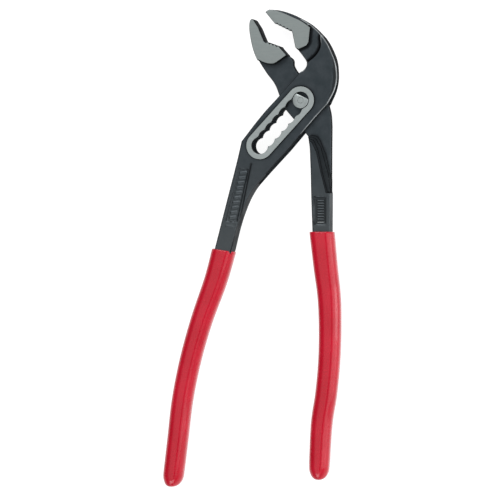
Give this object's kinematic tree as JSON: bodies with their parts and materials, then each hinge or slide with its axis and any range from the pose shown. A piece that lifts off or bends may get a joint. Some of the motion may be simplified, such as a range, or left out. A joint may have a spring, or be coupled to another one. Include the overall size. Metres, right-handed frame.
{
  "type": "tongue and groove pliers",
  "caption": "Box-joint water pump pliers with an angled, serrated jaw, a notched slot for the pivot, blackened steel levers and glossy red dipped grips.",
  "frame": {"origin": "the pivot's axis on the plane that the tool lies on, at the rear end of the pivot rivet", "axes": "+Z out of the front face along the pivot's axis, +Y from the pivot towards the jaws, +X towards the passing lever's handle side"},
  "size_m": [0.1149, 0.2997, 0.0126],
  "materials": {
    "blackened_steel": "satin",
    "ground_steel": "satin",
    "red_dipped_plastic": "gloss"
  },
  "bodies": {
    "slotted_lever_body": {"slotted_lever": "blackened_steel", "left_grip_sleeve": "red_dipped_plastic"},
    "pivot_body": {"pivot_rivet": "ground_steel"},
    "passing_lever_body": {"passing_lever": "blackened_steel", "front_locking_stud": "ground_steel", "rear_locking_stud": "ground_steel", "right_grip_sleeve": "red_dipped_plastic"}
  },
  "joints": [
    {"name": "slot_slide", "type": "slide", "parent": "slotted_lever_body", "child": "pivot_body", "axis": [-0.682, -0.7314, 0], "range_m": [0, 0.0384]},
    {"name": "jaw_hinge", "type": "hinge", "parent": "pivot_body", "child": "passing_lever_body", "pos_m": [0, 0, 0.0063], "axis": [0, 0, 1], "range_deg": [-8, 60]}
  ]
}
